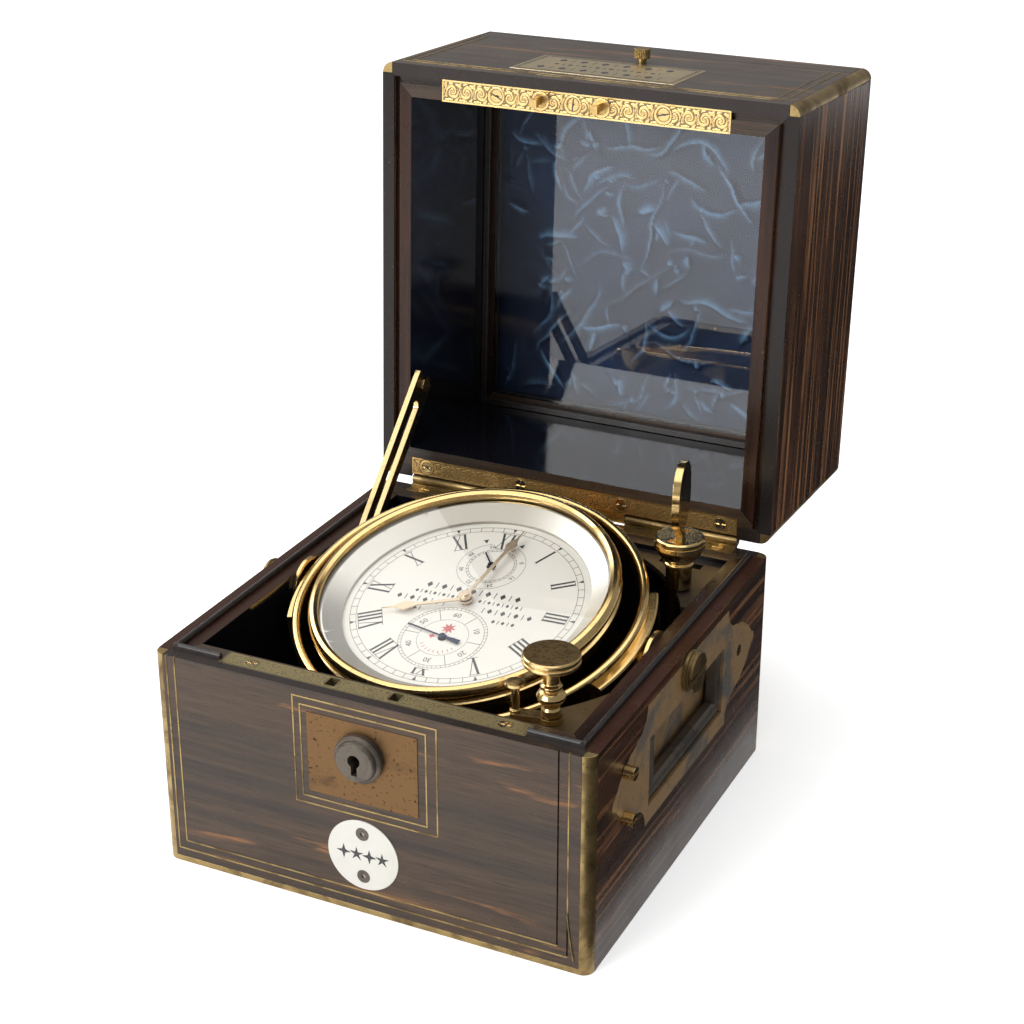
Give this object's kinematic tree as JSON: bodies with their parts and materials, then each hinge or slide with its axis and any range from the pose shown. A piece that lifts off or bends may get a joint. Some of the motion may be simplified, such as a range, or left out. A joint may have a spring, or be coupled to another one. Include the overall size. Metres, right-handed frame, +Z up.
{
  "type": "marine_chronometer",
  "caption": "Marine chronometer in an open three-tier brass-bound box, with gimballed bowl, silvered dial, winding key, stay and drop handles",
  "frame": {"origin": "Middle of the underside of the bottom tier, where the case rests on a table.", "axes": "+X to the right as seen from the lock side, +Y to the back where the case hinges, +Z up."},
  "size_m": [0.189, 0.2866, 0.278],
  "materials": {
    "figured_wood": "polished",
    "ebony": "polished",
    "lacquered_brass": "polished",
    "patinated_brass": "brushed",
    "dark_bronze": "brushed",
    "silvered_dial": "matte",
    "blued_steel": "polished",
    "clear_glass": "gloss",
    "blue_velvet": "matte"
  },
  "bodies": {
    "bottom_tier": {"base_case": "figured_wood", "base_bottom": "ebony", "base_edge_strips": "patinated_brass", "rim_tongue": "ebony", "front_stringing": "lacquered_brass", "lock_panel": "dark_bronze", "keyhole_cover": "dark_bronze", "number_disc": "silvered_dial", "box_lock": "lacquered_brass", "base_hinge_leaf": "patinated_brass", "handle_plate_right": "patinated_brass", "handle_plate_left": "patinated_brass", "base_screws": "lacquered_brass", "gimbal_screws": "patinated_brass", "gimbal_bushes": "lacquered_brass", "rear_deck": "ebony", "front_deck": "patinated_brass", "hinge_pin": "blued_steel"},
    "middle_tier": {"middle_case": "figured_wood", "middle_glass": "clear_glass", "glass_moulding": "ebony", "middle_corner_strips": "patinated_brass", "name_plaque": "patinated_brass", "link_plate": "lacquered_brass", "middle_hinge_leaf": "patinated_brass", "middle_screws": "lacquered_brass", "top_hinge_lower": "lacquered_brass"},
    "lid": {"top_lid": "figured_wood", "top_lining": "blue_velvet", "top_corner_strips": "patinated_brass", "top_hinge_upper": "lacquered_brass"},
    "ring": {"gimbal_ring": "lacquered_brass", "gimbal_blocks": "lacquered_brass", "bowl_screws": "lacquered_brass"},
    "bowl_assembly": {"bowl": "lacquered_brass", "bezel": "lacquered_brass", "crystal": "clear_glass", "dial_flange": "silvered_dial", "dial": "silvered_dial", "pillar_plate": "lacquered_brass", "top_plate": "lacquered_brass", "balance_cock": "lacquered_brass"},
    "lock_bolt_body": {"lock_bolt": "lacquered_brass"},
    "bail_right_body": {"bail_right": "dark_bronze"},
    "bail_left_body": {"bail_left": "dark_bronze"},
    "gimbal_lock_knob_body": {"gimbal_lock_knob": "lacquered_brass"},
    "gimbal_lock_lever_body": {"gimbal_lock_lever": "lacquered_brass"},
    "key_barrel_body": {"key_barrel": "lacquered_brass"},
    "key_handle_body": {"key_handle": "lacquered_brass"},
    "release_button_body": {"release_button": "patinated_brass"},
    "stay_arm_body": {"stay_arm": "lacquered_brass"},
    "spring_barrel_body": {"spring_barrel": "lacquered_brass"},
    "fusee_body": {"fusee": "lacquered_brass"},
    "centre_wheel_body": {"centre_wheel": "lacquered_brass"},
    "third_wheel_body": {"third_wheel": "lacquered_brass"},
    "fourth_wheel_body": {"fourth_wheel": "lacquered_brass"},
    "escape_wheel_body": {"escape_wheel": "lacquered_brass"},
    "balance_wheel_body": {"balance_wheel": "lacquered_brass"},
    "hour_hand_body": {"hour_hand": "lacquered_brass"},
    "reserve_hand_body": {"reserve_hand": "blued_steel"}
  },
  "joints": [
    {"name": "case_hinge", "type": "hinge", "parent": "bottom_tier", "child": "middle_tier", "pos_m": [0, 0.0916, 0.09305], "axis": [1, 0, 0], "range_deg": [0, 92.83]},
    {"name": "lid_hinge", "type": "hinge", "parent": "middle_tier", "child": "lid", "pos_m": [0, 0.16724, 0.08901], "axis": [-1, 0, 0], "range_deg": [0, 98]},
    {"name": "stay_pivot", "type": "hinge", "parent": "middle_tier", "child": "stay_arm_body", "pos_m": [-0.074, 0.09647, 0.13586], "axis": [1, 0, 0], "range_deg": [-79.4, 0]},
    {"name": "release_push", "type": "slide", "parent": "middle_tier", "child": "release_button_body", "axis": [0, -0.0494, -0.9988], "range_m": [0, 0.0015], "stiffness_N_per_m": 400},
    {"name": "lock_throw", "type": "slide", "parent": "bottom_tier", "child": "lock_bolt_body", "axis": [-1, 0, 0], "range_m": [0, 0.002]},
    {"name": "bail_right_swing", "type": "hinge", "parent": "bottom_tier", "child": "bail_right_body", "pos_m": [0.0872, 0.0005, 0.0684], "axis": [0, -1, 0], "range_deg": [0, 100]},
    {"name": "bail_left_swing", "type": "hinge", "parent": "bottom_tier", "child": "bail_left_body", "pos_m": [-0.0872, 0.0005, 0.0684], "axis": [0, 1, 0], "range_deg": [0, 100]},
    {"name": "ring_tilt", "type": "hinge", "parent": "bottom_tier", "child": "ring", "pos_m": [-0.001, 0, 0.081], "axis": [1, 0, 0], "range_deg": [-45, 15]},
    {"name": "bowl_roll", "type": "hinge", "parent": "ring", "child": "bowl_assembly", "pos_m": [-0.0023, -0.00186, 0.08775], "axis": [0, 0.9641, 0.2656], "range_deg": [-22, 24]},
    {"name": "lock_knob_turn", "type": "hinge", "parent": "bottom_tier", "child": "gimbal_lock_knob_body", "pos_m": [0.0614, -0.0624, 0.1], "axis": [0, 0, 1], "range_deg": [-180, 180]},
    {"name": "lock_lever_swing", "type": "hinge", "parent": "bottom_tier", "child": "gimbal_lock_lever_body", "pos_m": [0.0614, -0.0624, 0.0858], "axis": [0, 0, 1], "range_deg": [-50, 0]},
    {"name": "key_lift", "type": "slide", "parent": "bottom_tier", "child": "key_barrel_body", "axis": [0, 0, 1], "range_m": [0, 0.019]},
    {"name": "key_ratchet", "type": "hinge", "parent": "key_barrel_body", "child": "key_handle_body", "pos_m": [0.0658, 0.0497, 0.109], "axis": [0, 0, 1], "continuous": true},
    {"name": "minute_turn", "type": "hinge", "parent": "bowl_assembly", "child": "centre_wheel_body", "pos_m": [-0.00202, 0, 0.081], "axis": [0.0401, 0.2653, -0.9633], "continuous": true},
    {"name": "hour_turn", "type": "hinge", "parent": "bowl_assembly", "child": "hour_hand_body", "pos_m": [-0.00246, -0.00292, 0.0916], "axis": [0.0401, 0.2653, -0.9633], "continuous": true},
    {"name": "third_turn", "type": "hinge", "parent": "bowl_assembly", "child": "third_wheel_body", "pos_m": [0.00817, -0.01351, 0.07771], "axis": [0.0401, 0.2653, -0.9633], "continuous": true},
    {"name": "fusee_turn", "type": "hinge", "parent": "bowl_assembly", "child": "fusee_body", "pos_m": [-0.00202, 0.02198, 0.08706], "axis": [0.0401, 0.2653, -0.9633], "continuous": true},
    {"name": "barrel_turn", "type": "hinge", "parent": "bowl_assembly", "child": "spring_barrel_body", "pos_m": [-0.0315, -0.00258, 0.07907], "axis": [0.0401, 0.2653, -0.9633], "continuous": true},
    {"name": "seconds_turn", "type": "hinge", "parent": "bowl_assembly", "child": "fourth_wheel_body", "pos_m": [-0.00202, -0.02073, 0.0753], "axis": [0.0401, 0.2653, -0.9633], "continuous": true},
    {"name": "escape_turn", "type": "hinge", "parent": "bowl_assembly", "child": "escape_wheel_body", "pos_m": [-0.01201, -0.02834, 0.07279], "axis": [0.0401, 0.2653, -0.9633], "continuous": true},
    {"name": "balance_swing", "type": "hinge", "parent": "bowl_assembly", "child": "balance_wheel_body", "pos_m": [-0.01842, -0.01654, 0.05293], "axis": [0.0401, 0.2653, -0.9633], "range_deg": [-220, 220], "stiffness_Nm_per_rad": 0.00014},
    {"name": "reserve_swing", "type": "hinge", "parent": "bowl_assembly", "child": "reserve_hand_body", "pos_m": [-0.00246, 0.01906, 0.09766], "axis": [0.0401, 0.2653, -0.9633], "range_deg": [-30, 290]}
  ],
  "couplings": [
    {"joint": "stay_pivot", "follows": "case_hinge", "ratio": -0.8553},
    {"joint": "hour_turn", "follows": "minute_turn", "ratio": 0.083333},
    {"joint": "third_turn", "follows": "minute_turn", "ratio": -7.5},
    {"joint": "fusee_turn", "follows": "minute_turn", "ratio": -0.125},
    {"joint": "barrel_turn", "follows": "minute_turn", "ratio": -0.1},
    {"joint": "escape_turn", "follows": "seconds_turn", "ratio": -8}
  ]
}
